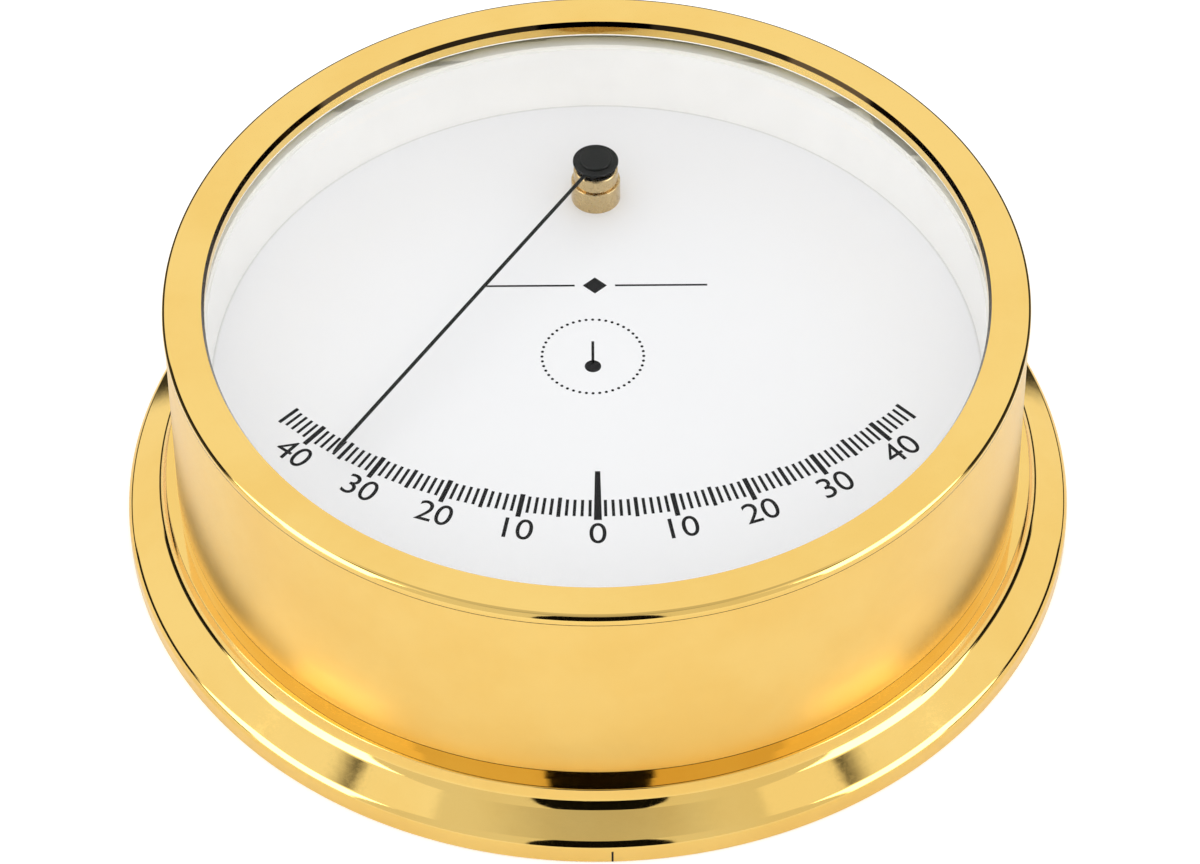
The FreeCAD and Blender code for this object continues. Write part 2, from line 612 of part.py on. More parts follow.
# Pendulum behind the dial
# The pieces are drawn along +Y and turned to the rest angle with the needle.
arm = new_body("pendulum_arm")
arm_outline = Outline(arm, "arm_outline", "XY_Plane", arm_bottom)
eye_side = "sqrt(Sizes.arm_eye_radius ^ 2 - Sizes.arm_width ^ 2 / 4)"
end_side = "sqrt(Sizes.arm_end_radius ^ 2 - Sizes.arm_width ^ 2 / 4)"
arm_outline.loop([
    ("Sizes.arm_width / 2", "Sizes.bob_reach - %s" % end_side),
    ("Sizes.arm_end_radius", "Sizes.bob_reach", "Sizes.arm_end_radius", 1),
    ("0", "Sizes.bob_reach + Sizes.arm_end_radius", "Sizes.arm_end_radius", 1),
    ("-Sizes.arm_end_radius", "Sizes.bob_reach", "Sizes.arm_end_radius", 1),
    ("-Sizes.arm_width / 2", "Sizes.bob_reach - %s" % end_side, "Sizes.arm_end_radius", 1),
    ("-Sizes.arm_width / 2", eye_side),
    ("-Sizes.arm_eye_radius", "0", "Sizes.arm_eye_radius", 1),
    ("0", "-Sizes.arm_eye_radius", "Sizes.arm_eye_radius", 1),
    ("Sizes.arm_eye_radius", "0", "Sizes.arm_eye_radius", 1),
    ("Sizes.arm_width / 2", eye_side, "Sizes.arm_eye_radius", 1),
])
arm_outline.circle("0", "0", "Sizes.arbor_radius")
arm_outline.circle("0", "Sizes.bob_reach", "Sizes.bob_screw_radius")
pad(arm, arm_outline, "Sizes.arm_thickness", "arm_strip")
turn_to_rest(arm)

# The set screw enters the collar from the side of the bob.
collar = turned("pendulum_collar", [
    ("Sizes.arbor_radius", boss_bottom),
    ("Sizes.boss_radius", boss_bottom),
    ("Sizes.boss_radius", arm_bottom),
    ("Sizes.arbor_radius", arm_bottom),
])
doc.recompute()
set_screw_height = "(%s - Sizes.boss_height / 2)" % arm_bottom
set_hole = Outline(collar, "set_hole_outline", "XZ_Plane")
set_hole.circle("0", set_screw_height, "Sizes.set_screw_radius")
pocket(collar, set_hole, "Sizes.boss_radius + Sizes.cut_spare", "set_hole")
turn_to_rest(collar)

set_screw = new_body("collar_set_screw")
screw_outline = Outline(set_screw, "set_screw_outline", "XZ_Plane", "-Sizes.arbor_radius")
screw_outline.circle("0", set_screw_height, "Sizes.set_screw_radius")
pad(set_screw, screw_outline, "Sizes.boss_radius - Sizes.arbor_radius - Sizes.set_screw_sink",
    "set_screw_blank", reverse=True)
socket_outline = Outline(set_screw, "socket_outline", "XZ_Plane",
                         "Sizes.set_screw_sink - Sizes.boss_radius")
socket_outline.circle("0", set_screw_height, "Sizes.set_screw_socket")
pocket(set_screw, socket_outline, "Sizes.set_screw_radius", "set_screw_socket", reverse=True)
turn_to_rest(set_screw)

bob_bottom = "(%s - Sizes.bob_height)" % arm_bottom
bob_hole_end = "(%s - Sizes.bob_screw_depth)" % arm_bottom
bob_head_top = "(%s + Sizes.bob_screw_head_height)" % arm_top
bob_across = "-Sizes.bob_reach * sin(%s)" % rest
bob_up = "%s - Sizes.bob_reach * cos(%s)" % (pivot_offset, rest)
put(turned("bob", [
    ("0", bob_bottom),
    ("Sizes.bob_radius - Sizes.bob_edge", bob_bottom),
    ("Sizes.bob_radius", "%s + Sizes.bob_edge" % bob_bottom),
    ("Sizes.bob_radius", "%s - Sizes.bob_edge" % arm_bottom),
    ("Sizes.bob_radius - Sizes.bob_edge", arm_bottom),
    ("Sizes.bob_screw_radius", arm_bottom),
    ("Sizes.bob_screw_radius", bob_hole_end),
    ("0", bob_hole_end),
]), across=bob_across, up=bob_up)
bob_screw = turned("bob_screw", [
    ("0", bob_hole_end),
    ("Sizes.bob_screw_radius", bob_hole_end),
    ("Sizes.bob_screw_radius", arm_top),
    ("Sizes.bob_screw_head", arm_top),
    ("Sizes.bob_screw_head", bob_head_top),
    ("0", bob_head_top),
])
doc.recompute()
bob_slot = Outline(bob_screw, "bob_slot_outline", "XY_Plane", bob_head_top).loop([
    ("-(Sizes.bob_screw_head + Sizes.cut_spare)", "-Sizes.slot_width / 2"),
    ("Sizes.bob_screw_head + Sizes.cut_spare", "-Sizes.slot_width / 2"),
    ("Sizes.bob_screw_head + Sizes.cut_spare", "Sizes.slot_width / 2"),
    ("-(Sizes.bob_screw_head + Sizes.cut_spare)", "Sizes.slot_width / 2"),
])
pocket(bob_screw, bob_slot, "Sizes.slot_depth", "bob_slot")
put(bob_screw, across=bob_across, up=bob_up)

# Back plate with its seal, lugs and screws
back_radius = "(%s - Sizes.back_plate_gap)" % back_recess_radius
screw_hole = "(Sizes.lug_screw_radius + Sizes.lug_screw_gap)"

back_plate = new_body("back_plate")
plate_outline = Outline(back_plate, "plate_outline", "XY_Plane").circle("0", "0", back_radius)
pad(back_plate, plate_outline, "Sizes.back_plate_thickness", "plate_disc")
bulkhead_outline = Outline(back_plate, "bulkhead_outline", "XY_Plane")
bulkhead_outline.circle("0", bulkhead_circle, "Sizes.bulkhead_hole")
bulkhead_hole = pocket(back_plate, bulkhead_outline, "Sizes.back_plate_thickness",
                       "bulkhead_hole", reverse=True)
repeat(back_plate, bulkhead_hole, BULKHEAD_HOLE_COUNT, "bulkhead_holes")
lug_across = "%s * cos(Sizes.lug_angle * 1 deg)" % lug_circle
lug_up = "%s * sin(Sizes.lug_angle * 1 deg)" % lug_circle
screw_outline = Outline(back_plate, "screw_hole_outline", "XY_Plane")
screw_outline.circle(lug_across, lug_up, screw_hole)
through_hole = pocket(back_plate, screw_outline, "Sizes.back_plate_thickness",
                      "screw_hole", reverse=True)
repeat(back_plate, through_hole, LUG_COUNT, "screw_holes")
sink = back_plate.newObject("PartDesign::SubtractiveCone", "countersink")
sink.setExpression("Radius1", "Sizes.lug_screw_head")
sink.setExpression("Radius2", "Sizes.lug_screw_radius")
sink.setExpression("Height", "Sizes.lug_screw_cone")
sink.setExpression("Placement.Base.x", lug_across)
sink.setExpression("Placement.Base.y", lug_up)
back_plate.Tip = sink
doc.recompute()
repeat(back_plate, sink, LUG_COUNT, "countersinks")

flat_ring("back_seal", inner_slope_radius, back_radius, "Sizes.back_plate_thickness", recess_depth)

lug_blank = combine(
    "Part::Common", "lug_blank",
    box("lug_block", "Sizes.lug_depth", "Sizes.lug_width", "Sizes.lug_height",
        across="%s - Sizes.lug_depth" % drum_bore, up="-Sizes.lug_width / 2",
        height="Sizes.back_plate_thickness"),
    cylinder("lug_bound", drum_bore, "Sizes.back_plate_thickness + Sizes.lug_height"))
lug_hole = cylinder("lug_hole", "Sizes.lug_screw_radius",
                    "Sizes.lug_screw_length + Sizes.lug_hole_spare", across=lug_circle)
turned_copies("case_lugs", lug_blank, lug_hole, LUG_COUNT, "Sizes.lug_angle")

screw_head = doc.addObject("Part::Cone", "back_screw_head")
screw_head.setExpression("Radius1", "Sizes.lug_screw_head")
screw_head.setExpression("Radius2", "Sizes.lug_screw_radius")
screw_head.setExpression("Height", "Sizes.lug_screw_cone")
put(screw_head, across=lug_circle)
back_screw = combine(
    "Part::Fuse", "back_screw_blank", screw_head,
    cylinder("back_screw_shank", "Sizes.lug_screw_radius", "Sizes.lug_screw_length",
             across=lug_circle))
screw_slot = box("back_screw_slot", "(Sizes.lug_screw_head + Sizes.cut_spare) * 2",
                 "Sizes.slot_width", "Sizes.slot_depth",
                 across="%s - Sizes.lug_screw_head - Sizes.cut_spare" % lug_circle,
                 up="-Sizes.slot_width / 2")
turned_copies("back_screws", back_screw, screw_slot, LUG_COUNT, "Sizes.lug_angle")

doc.recompute()

# Checks and export
NODES = [
    "case_shell", "bezel_ring", "glass_pane", "glass_seal", "spacer_gasket", "spacer_ring",
    "dial_plate", "dial_seat_ring", "dial_pins", "pivot_post", "post_washer", "post_nut",
    "front_bush", "rear_bush", "arbor", "thrust_washer", "needle_hub", "hub_cap", "needle",
    "arbor_clip", "pendulum_collar", "collar_set_screw", "pendulum_arm", "bob", "bob_screw",
    "back_plate", "back_seal", "case_lugs", "back_screws",
]

for item in doc.Objects:
    if "Invalid" in item.State or "Error" in item.State:
        raise RuntimeError("%s did not compute: %s" % (item.Name, item.State))

os.makedirs("parts", exist_ok=True)
for node in NODES:
    shape = doc.getObjectsByLabel(node)[0].Shape
    if shape.isNull() or not shape.isValid() or not shape.Solids:
        raise RuntimeError(node + " has no sound shape")
    shape.exportStep("parts/%s.step" % node)
    print("%-18s %2d solids %12.3f mm3" % (node, len(shape.Solids), shape.Volume))
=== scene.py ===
import json
import math

import bmesh
import bpy
from mathutils import Matrix, Vector


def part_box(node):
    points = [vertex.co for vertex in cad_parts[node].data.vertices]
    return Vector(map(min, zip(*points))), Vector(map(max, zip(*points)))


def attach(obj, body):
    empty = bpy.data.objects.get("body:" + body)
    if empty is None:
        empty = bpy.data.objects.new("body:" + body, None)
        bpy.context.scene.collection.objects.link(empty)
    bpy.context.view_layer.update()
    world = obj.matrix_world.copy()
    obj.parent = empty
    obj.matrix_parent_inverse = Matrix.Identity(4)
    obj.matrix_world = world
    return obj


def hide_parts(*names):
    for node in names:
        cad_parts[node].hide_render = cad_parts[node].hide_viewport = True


MM = 0.001

# Dial and scale, in millimetres and degrees. The scale is drawn round the needle's pivot.
PRINT_THICKNESS = 0.015
SCALE_END = 45
MIDDLE_STEP = 5
MAJOR_STEP = 10
# Each mark's inner end, outer end and width; the zero mark has a width at each end.
MINOR_MARK = (52.95, 55.65, 0.38)
MIDDLE_MARK = (52.70, 55.90, 0.48)
MAJOR_MARK = (52.70, 56.47, 0.62)
ZERO_MARK = (48.16, 56.24)
ZERO_MARK_WIDTHS = (0.66, 0.97)
NUMERAL_RADIUS = 58.6
NUMERAL_HEIGHT = 3.4
NUMERAL_SHARE = 0.72  # height of a numeral as a share of the typeface's size
NUMERAL_STEP = 10
NUMERAL_END = 40
RULE_CENTRE = (-0.2, 15.2)
RULE_LENGTH = 28.6
RULE_WIDTH = 0.3
LOZENGE_HEIGHT = 2.85
LOZENGE_GAP_SHARE = 0.9  # half of the rule's gap, as a share of the lozenge's height
LOZENGE_WIDTH_SHARE = 0.6  # half of the lozenge's width, as a share of that half gap
RING_CENTRE = (-0.5, 2.75)
RING_RADIUS = 6.4
RING_DOTS = 48
RING_DOT_RADIUS = 0.2
RING_DOT_SIDES = 10
PLUMB_LENGTH = 5.2
PLUMB_WIDTH = 0.35
PLUMB_BOB_SIDES = 24

# Turned outlines of the case and the bezel, in millimetres and degrees.
FLANGE_RADIUS = 60.0
FLANGE_EDGE_BREAK = 0.2
RIM_WALL_HEIGHT = 2.05
RIM_ROUND = 1.45
SLOPE_FALL = 30.5
COVE_RADIUS = 2.0
STEP_WIDTH = 1.45
STEP_DRAFT = 11.0
STEP_EDGE = 0.15
STEP_RISE = 1.1
LEDGE_FALL = 0.03
DRUM_RADIUS = 53.5
DRUM_BORE = 52.0
DRUM_TOP = 36.3
FLANGE_WALL = 1.3
RECESS_RADIUS = 58.2
RECESS_DEPTH = 2.0
RECESS_LAND = 1.8
BEZEL_OVERHANG = 0.13
BEZEL_TOP = 37.6
BEZEL_ROUND = 0.9
BEZEL_RIM = 4.91
BEVEL_WIDTH = 0.33
BEVEL_HEIGHT = 0.65
BEZEL_LIP = 1.9
SKIRT_RADIUS = 51.9
SKIRT_BORE = 50.7
SKIRT_END = 32.0
DRUM_FOOT = 9.25
INDEX_LINE_OFFSET = 1.5
INDEX_LINE_WIDTH = 0.25
POST_FOOT_RADIUS = 3.15
POST_FOOT_HEIGHT = 3.2
POST_FOOT_ROUND = 0.12
POST_GROOVE_DEPTH = 0.12
POST_GROOVE_HEIGHT = 0.14
POST_UPPER_RADIUS = 2.85
POST_TOP_ROUND = 0.3
POST_HEIGHT = 5.3
POST_BORE = 1.1
SHANK_RADIUS = 1.8
SHANK_LENGTH = 5.0
BUSH_RADIUS = 1.4
BUSH_LENGTH = 1.2
INDEX_LINE_DISTANCE = FLANGE_RADIUS - PRINT_THICKNESS
TURN_STEPS = 360
ARC_STEP = math.radians(3.0)
BEZEL_RADIUS = DRUM_RADIUS + BEZEL_OVERHANG
FACE_RADIUS = BEZEL_RADIUS - BEZEL_RIM

# Colours.
WHITE = (1.0, 1.0, 1.0, 1.0)
BRASS = (0.94, 0.655, 0.205, 1.0)
POST_BRASS = (0.60, 0.46, 0.25, 1.0)
PLAIN_BRASS = (0.80, 0.57, 0.25, 1.0)
BRASS_DEEPENING = (0.97, 0.93, 0.84, 1.0)
# Painted dark: colour for thin rings painted on the brass (painted shade in the bezel's joint, a
# painted reflection edge round the drum, a dark ring on the inner bevel).
PAINTED_DARK = (0.03, 0.02, 0.01, 1.0)
PANE_TINT = (0.996, 0.998, 0.997, 1.0)
# The pane's ground edge is painted dark olive: painted shade with a brass tint, under the bezel's
# lip.
PANE_EDGE_SHADE_TINTS = ((0.30, 0.29, 0.17, 1.0), (0.42, 0.40, 0.26, 1.0))
# The gasket's pale colour, and the olive painted shade it darkens to under the bezel's lip.
GASKET_INNER = (0.92, 0.90, 0.84, 1.0)
GASKET_SHADE = (0.70, 0.63, 0.42, 1.0)
DIAL_TINTS = ((0.86, 0.86, 0.875, 1.0), (0.83, 0.83, 0.85, 1.0))
# Painted shade on the dial where the white ring stands on it.
DIAL_EDGE_SHADE = (0.70, 0.70, 0.69, 1.0)
SEAL_BLACK = (0.045, 0.043, 0.035, 1.0)
RING_WHITE = (0.97, 0.96, 0.94, 1.0)
BUSH_IVORY = (0.80, 0.77, 0.68, 1.0)
STEEL = (0.66, 0.66, 0.68, 1.0)
NEEDLE_BLACK = (0.009, 0.010, 0.009, 1.0)
INK = (0.012, 0.012, 0.013, 1.0)

# Surfaces: noise scales are per millimetre, depths and widths in millimetres.
LATHE_SCALE = 9.0
MOTTLE_SCALE = 0.16
CLOUD_SCALE = 0.05
SPECK_SCALE = 2.2
LATHE_DEPTH = 0.02
MOTTLE_DEPTH = 0.25
GRAIN_DEPTH = 0.03
PAINT_DEPTH = 0.02
SPECK_ROUGHENING = 2.4
PAINTED_DARK_BLUR = 0.02
SATIN_ROUGHNESS = 0.24
SATIN_BLUR = 0.1
PANE_REFLECTION = 0.003
PANE_EDGE_WIDTH = 0.3
# Radii of the dial's painted shade at the foot of the white ring.
DIAL_SHADE_RADII = (47.9, 48.35)

# The mirrored studio, by direction: degrees to either side of straight ahead, and degrees above the
# horizon. A region has two azimuths, two heights, the blur of its edges and its strength.
FRONT_FADE = (50, 53)
FRONT_LEVEL = 0.8
CEILING_FADE = (64, 69)
CEILING_LEVEL = 0.66
SIDE_PANEL = ((51.5, 91), (-6, 46), 1.0, 3.0)
DARK_CARDS = (
    ((71, 86), (55, 63), 1.5, 0.95),
    ((75, 190), (-22, 8), 1.5, 0.96),
    ((93, 122), (-22, 17), 1.5, 0.96),
    ((-5, 14.7), (-13.5, 65.5), 0.6, 0.995),
)
PLAIN_LEVEL = 1.08

# Lamp and floor, in metres and watts.
LAMP_SIZE = 1.2
LAMP_POWER = 3.3
LAMP_PLACE = (0.0, -1.15, 0.96)
FLOOR_SIZE = 6.0
FLOOR_DROP = 0.05 * MM
FLOOR_PAINT = (0.86, 0.86, 0.86, 1.0)
FLOOR_GLOW = 0.03
FLOOR_CAMERA_GLOW = 0.3
FLOOR_SHADE = 0.05
SHADE_DISTANCE = (0.10, 0.115)
SHADE_DEPTH = (-0.03, -0.015)

# Camera, as fitted to the photograph, in millimetres and degrees.
CAMERA_PLACE = (0.33, -472.7, 520.3)
CAMERA_FALL = 47.08
CAMERA_ROLL = -0.39
CAMERA_LENS = 164.24
SENSOR_WIDTH = 36.0

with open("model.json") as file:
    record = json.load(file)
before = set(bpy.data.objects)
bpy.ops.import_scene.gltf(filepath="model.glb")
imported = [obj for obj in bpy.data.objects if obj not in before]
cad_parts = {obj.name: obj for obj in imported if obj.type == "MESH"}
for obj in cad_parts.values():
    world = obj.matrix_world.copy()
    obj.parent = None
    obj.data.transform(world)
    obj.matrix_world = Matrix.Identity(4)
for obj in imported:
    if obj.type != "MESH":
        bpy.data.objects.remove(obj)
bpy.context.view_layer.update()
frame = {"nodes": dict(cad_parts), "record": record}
nodes = frame["nodes"]
joint = frame["record"]["behaviour"]["joints"][0]
PIVOT = Vector(joint["pos_m"]) / MM
DIAL_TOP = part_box("dial_plate")[1][2] / MM


class Nodes:
    """A small builder for one node tree."""

    def __init__(self, tree):
        self.tree = tree
        self.tree.nodes.clear()

    def node(self, kind, inputs=(), **settings):
        """A node with its settings and inputs; an input is a value or another node's output."""
        item = self.tree.nodes.new(kind)
        for name, value in settings.items():
            setattr(item, name, value)
        for key, value in dict(inputs).items():
            if isinstance(value, bpy.types.NodeSocket):
                self.tree.links.new(value, item.inputs[key])
            else:
                item.inputs[key].default_value = value
        return item

    def math(self, operation, *values):
        """One arithmetic step."""
        item = self.node("ShaderNodeMath", dict(enumerate(values)), operation=operation)
        return item.outputs[0]

    def smooth(self, value, low, high, start=0.0, end=1.0):
        """A smooth step from start to end as value goes from low to high."""
        item = self.node(
            "ShaderNodeMapRange",
            {"Value": value, "From Min": low, "From Max": high, "To Min": start, "To Max": end},
            interpolation_type="SMOOTHSTEP")
        return item.outputs["Result"]

    def mix_colour(self, factor, first, second):
        """A blend of two colours."""
        item = self.node("ShaderNodeMix", {0: factor, 6: first, 7: second}, data_type="RGBA")
        return item.outputs[2]

    def noise(self, vector, scale, detail=2.0, roughness=0.5):
        """Soft noise."""
        item = self.node(
            "ShaderNodeTexNoise",
            {"Vector": vector, "Scale": scale, "Detail": detail, "Roughness": roughness})
        return item.outputs["Fac"]

    def mix_shader(self, factor, first, second):
        """A blend of two shaders."""
        item = self.node("ShaderNodeMixShader", {0: factor, 1: first, 2: second})
        return item.outputs[0]

    def add_shader(self, first, second):
        """The sum of two shaders."""
        return self.node("ShaderNodeAddShader", {0: first, 1: second}).outputs[0]

    def glow(self, strength):
        """White light of that strength."""
        return self.node("ShaderNodeEmission", {"Color": WHITE, "Strength": strength}).outputs[0]

    def relief(self, height, strength, depth, **inputs):
        """A bump of that depth in millimetres; gives the bent normal."""
        inputs.update({"Height": height, "Strength": strength, "Distance": depth * MM})
        return self.node("ShaderNodeBump", inputs).outputs[0]

    def place(self):
        """The place on the object, in millimetres."""
        spot = self.node("ShaderNodeTexCoord").outputs["Object"]
        item = self.node("ShaderNodeVectorMath", {0: spot, "Scale": 1 / MM}, operation="SCALE")
        return item.outputs[0]


def new_material(name):
    """An empty material and its builder."""
    material = bpy.data.materials.new(name)
    material.use_nodes = True
    return material, Nodes(material.node_tree)


def finish_material(build, shader):
    """Link the shader to the output."""
    build.node("ShaderNodeOutputMaterial", {"Surface": shader})


def arc_points(start, end, radius, turn):
    """Points and normals of the minor arc from start to end that turns left (1) or right (-1)."""
    chord = end - start
    rise = math.sqrt(max(radius ** 2 - chord.length_squared / 4, 0.0))
    side = Vector((-chord.y, chord.x)).normalized()
    centre = (start + end) / 2 + side * (rise * turn)
    first = start - centre
    sweep = turn * first.angle(end - centre)
    count = max(2, math.ceil(abs(sweep) / ARC_STEP))
    pairs = []
    for index in range(count + 1):
        spoke = Matrix.Rotation(sweep * index / count, 2) @ first
        pairs.append((centre + spoke, spoke.normalized() * turn))
    return pairs


def outline_strips(corners):
    """The straight and curved strips of a closed outline, each as (point, outward normal) pairs."""
    strips = []
    for index, corner in enumerate(corners):
        start, end = Vector(corners[index - 1][:2]), Vector(corner[:2])
        if len(corner) > 2:
            strips.append(arc_points(start, end, corner[2], corner[3]))
        else:
            way = (end - start).normalized()
            normal = Vector((way.y, -way.x))
            strips.append([(start, normal), (end, normal)])
    return strips


def turned_piece(name, corners, material, node, centre=(0.0, 0.0)):
    """A smooth turned piece that takes the place of a node; centre is where its axis stands.

    Each strip of the outline has its own vertices, so that its edges stay sharp."""
    points, faces, normals = [], [], []
    turns = [2 * math.pi * step / TURN_STEPS for step in range(TURN_STEPS)]
    for strip in outline_strips(corners):
        first = len(points)
        rows = len(strip)
        for turn in turns:
            for point, normal in strip:
                points.append(((centre[0] + point.x * math.cos(turn)) * MM,
                               (centre[1] + point.x * math.sin(turn)) * MM, point.y * MM))
        for step, turn in enumerate(turns):
            follower = (step + 1) % TURN_STEPS
            spins = (turn, turns[follower], turns[follower], turn)
            for row in range(rows - 1):
                faces.append((first + step * rows + row, first + follower * rows + row,
                              first + follower * rows + row + 1, first + step * rows + row + 1))
                for spin, spot in zip(spins, (row, row, row + 1, row + 1)):
                    normal = strip[spot][1]
                    normals.append((normal.x * math.cos(spin), normal.x * math.sin(spin), normal.y))
    data = bpy.data.meshes.new(name)
    data.from_pydata(points, [], faces)
    data.polygons.foreach_set("use_smooth", [True] * len(faces))
    data.normals_split_custom_set(normals)
    data.materials.append(material)
    piece = bpy.data.objects.new(name, data)
    bpy.context.collection.objects.link(piece)
    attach(piece, "case")
    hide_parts(node)
    return piece


def case_outline():
    """Outline of the drum and its moulded flange."""
    fall = math.radians(SLOPE_FALL)
    draft = math.radians(STEP_DRAFT)
    crest_radius = FLANGE_RADIUS - RIM_ROUND * (1 - math.sin(fall))
    crest_height = RIM_WALL_HEIGHT + RIM_ROUND * math.cos(fall)
    step_radius = DRUM_RADIUS + STEP_WIDTH
    step_foot = step_radius + STEP_RISE * math.tan(draft)
    cove_foot = step_foot + COVE_RADIUS * (math.cos(draft) - math.sin(fall))
    cove_bottom = crest_height + (crest_radius - cove_foot) * math.tan(fall)
    cove_top = cove_bottom + COVE_RADIUS * (math.cos(fall) - math.sin(draft))
    step_top = cove_top + STEP_RISE
    return [
        (FLANGE_RADIUS - FLANGE_EDGE_BREAK, 0.0),
        (FLANGE_RADIUS, FLANGE_EDGE_BREAK),
        (FLANGE_RADIUS, RIM_WALL_HEIGHT),
        (crest_radius, crest_height, RIM_ROUND, 1),
        (cove_foot, cove_bottom),
        (step_foot, cove_top, COVE_RADIUS, -1),
        (step_radius, step_top - STEP_EDGE),
        (step_radius - STEP_EDGE, step_top, STEP_EDGE, 1),
        (DRUM_RADIUS, step_top + LEDGE_FALL),
        (DRUM_RADIUS, DRUM_TOP),
        (DRUM_BORE, DRUM_TOP),
        (DRUM_BORE, cove_top - FLANGE_WALL),
        (cove_foot, cove_bottom - FLANGE_WALL / math.cos(fall)),
        (RECESS_RADIUS - RECESS_LAND, RECESS_DEPTH),
        (RECESS_RADIUS, RECESS_DEPTH),
        (RECESS_RADIUS, 0.0),
    ]


def bezel_outline():
    """Outline of the bezel with its lip and skirt."""
    lip_bore = FACE_RADIUS - BEVEL_WIDTH
    lip_under = BEZEL_TOP - BEZEL_LIP
    return [
        (BEZEL_RADIUS, DRUM_TOP),
        (BEZEL_RADIUS, BEZEL_TOP - BEZEL_ROUND),
        (BEZEL_RADIUS - BEZEL_ROUND, BEZEL_TOP, BEZEL_ROUND, 1),
        (FACE_RADIUS, BEZEL_TOP),
        (lip_bore, BEZEL_TOP - BEVEL_HEIGHT),
        (lip_bore, lip_under),
        (SKIRT_BORE, lip_under),
        (SKIRT_BORE, SKIRT_END),
        (SKIRT_RADIUS, SKIRT_END),
        (SKIRT_RADIUS, DRUM_TOP),
    ]


def post_outline():
    """Outline of the post: foot, groove and upper part, with its shank and its stepped bore."""
    groove = DIAL_TOP + POST_FOOT_HEIGHT
    top = DIAL_TOP + POST_HEIGHT
    shank_end = DIAL_TOP - SHANK_LENGTH
    return [
        (POST_FOOT_RADIUS, DIAL_TOP),
        (POST_FOOT_RADIUS, groove - POST_FOOT_ROUND),
        (POST_FOOT_RADIUS - POST_FOOT_ROUND, groove, POST_FOOT_ROUND, 1),
        (POST_UPPER_RADIUS - POST_GROOVE_DEPTH, groove),
        (POST_UPPER_RADIUS, groove + POST_GROOVE_HEIGHT),
        (POST_UPPER_RADIUS, top - POST_TOP_ROUND),
        (POST_UPPER_RADIUS - POST_TOP_ROUND, top, POST_TOP_ROUND, 1),
        (BUSH_RADIUS, top),
        (BUSH_RADIUS, top - BUSH_LENGTH),
        (POST_BORE, top - BUSH_LENGTH),
        (POST_BORE, shank_end + BUSH_LENGTH),
        (BUSH_RADIUS, shank_end + BUSH_LENGTH),
        (BUSH_RADIUS, shank_end),
        (SHANK_RADIUS, shank_end),
        (SHANK_RADIUS, DIAL_TOP),
    ]


def turned_coordinates(build, centre=(0.0, 0.0)):
    """The plain place, and the radius and height about an upright axis, in millimetres."""
    place = build.place()
    moved = build.node(
        "ShaderNodeVectorMath", {0: place, 1: (centre[0], centre[1], 0.0)}, operation="SUBTRACT")
    parts = build.node("ShaderNodeSeparateXYZ", {0: moved.outputs[0]})
    across = build.math("POWER", parts.outputs[0], 2.0)
    up = build.math("POWER", parts.outputs[1], 2.0)
    radius = build.math("SQRT", build.math("ADD", across, up))
    return place, radius, parts.outputs[2]


def within(build, value, low, high, blur):
    """One inside a range and zero outside it."""
    rising = build.smooth(value, low - blur, low + blur)
    falling = build.smooth(value, high - blur, high + blur, 1.0, 0.0)
    return build.math("MULTIPLY", rising, falling)


def polished_brass(name, colour=BRASS, centre=(0.0, 0.0), roughness=0.035, lathe=0.02, waves=0.04,
                   painted_dark_bands=(), satin=None):
    """Polished brass with faint turning lines and a slight unevenness.

    Each painted dark band is a ring painted dark: its two radii, then its two heights. Where satin
    gives a radius and a height, the brass is satin outside that radius and above that height."""
    material, build = new_material(name)
    place, radius, height = turned_coordinates(build, centre)
    rings = build.node("ShaderNodeCombineXYZ", {0: radius, 1: height, 2: 0.0}).outputs[0]
    lines = build.noise(rings, LATHE_SCALE, detail=4.0, roughness=0.7)
    mottle = build.noise(place, MOTTLE_SCALE, detail=3.0)
    cloud = build.noise(place, CLOUD_SCALE, detail=4.0, roughness=0.6)
    specks = build.noise(place, SPECK_SCALE, detail=3.0, roughness=0.6)
    deeper = tuple(channel * factor for channel, factor in zip(colour, BRASS_DEEPENING))
    tint = build.mix_colour(build.smooth(cloud, 0.35, 0.7), colour, deeper)
    gloss = build.smooth(specks, 0.3, 0.8, roughness, roughness * SPECK_ROUGHENING)
    if satin:
        inner, bottom = satin
        outside = build.smooth(radius, inner - SATIN_BLUR, inner)
        above = build.smooth(height, bottom, bottom + SATIN_BLUR)
        dulled = build.math("MULTIPLY", outside, above)
        gloss = build.math("ADD", gloss, build.math("MULTIPLY", dulled, SATIN_ROUGHNESS))
    # Each band is painted dark into the brass's colour, whatever light falls there.
    for inner, outer, bottom, top in painted_dark_bands:
        painted_band = build.math("MULTIPLY", within(build, radius, inner, outer, PAINTED_DARK_BLUR),
                          within(build, height, bottom, top, PAINTED_DARK_BLUR))
        tint = build.mix_colour(painted_band, tint, PAINTED_DARK)
    turned = build.relief(lines, lathe, LATHE_DEPTH)
    uneven = build.relief(mottle, waves, MOTTLE_DEPTH, Normal=turned)
    shader = build.node(
        "ShaderNodeBsdfPrincipled",
        {"Base Color": tint, "Metallic": 1.0, "Roughness": gloss, "Normal": uneven})
    finish_material(build, shader.outputs[0])
    return material


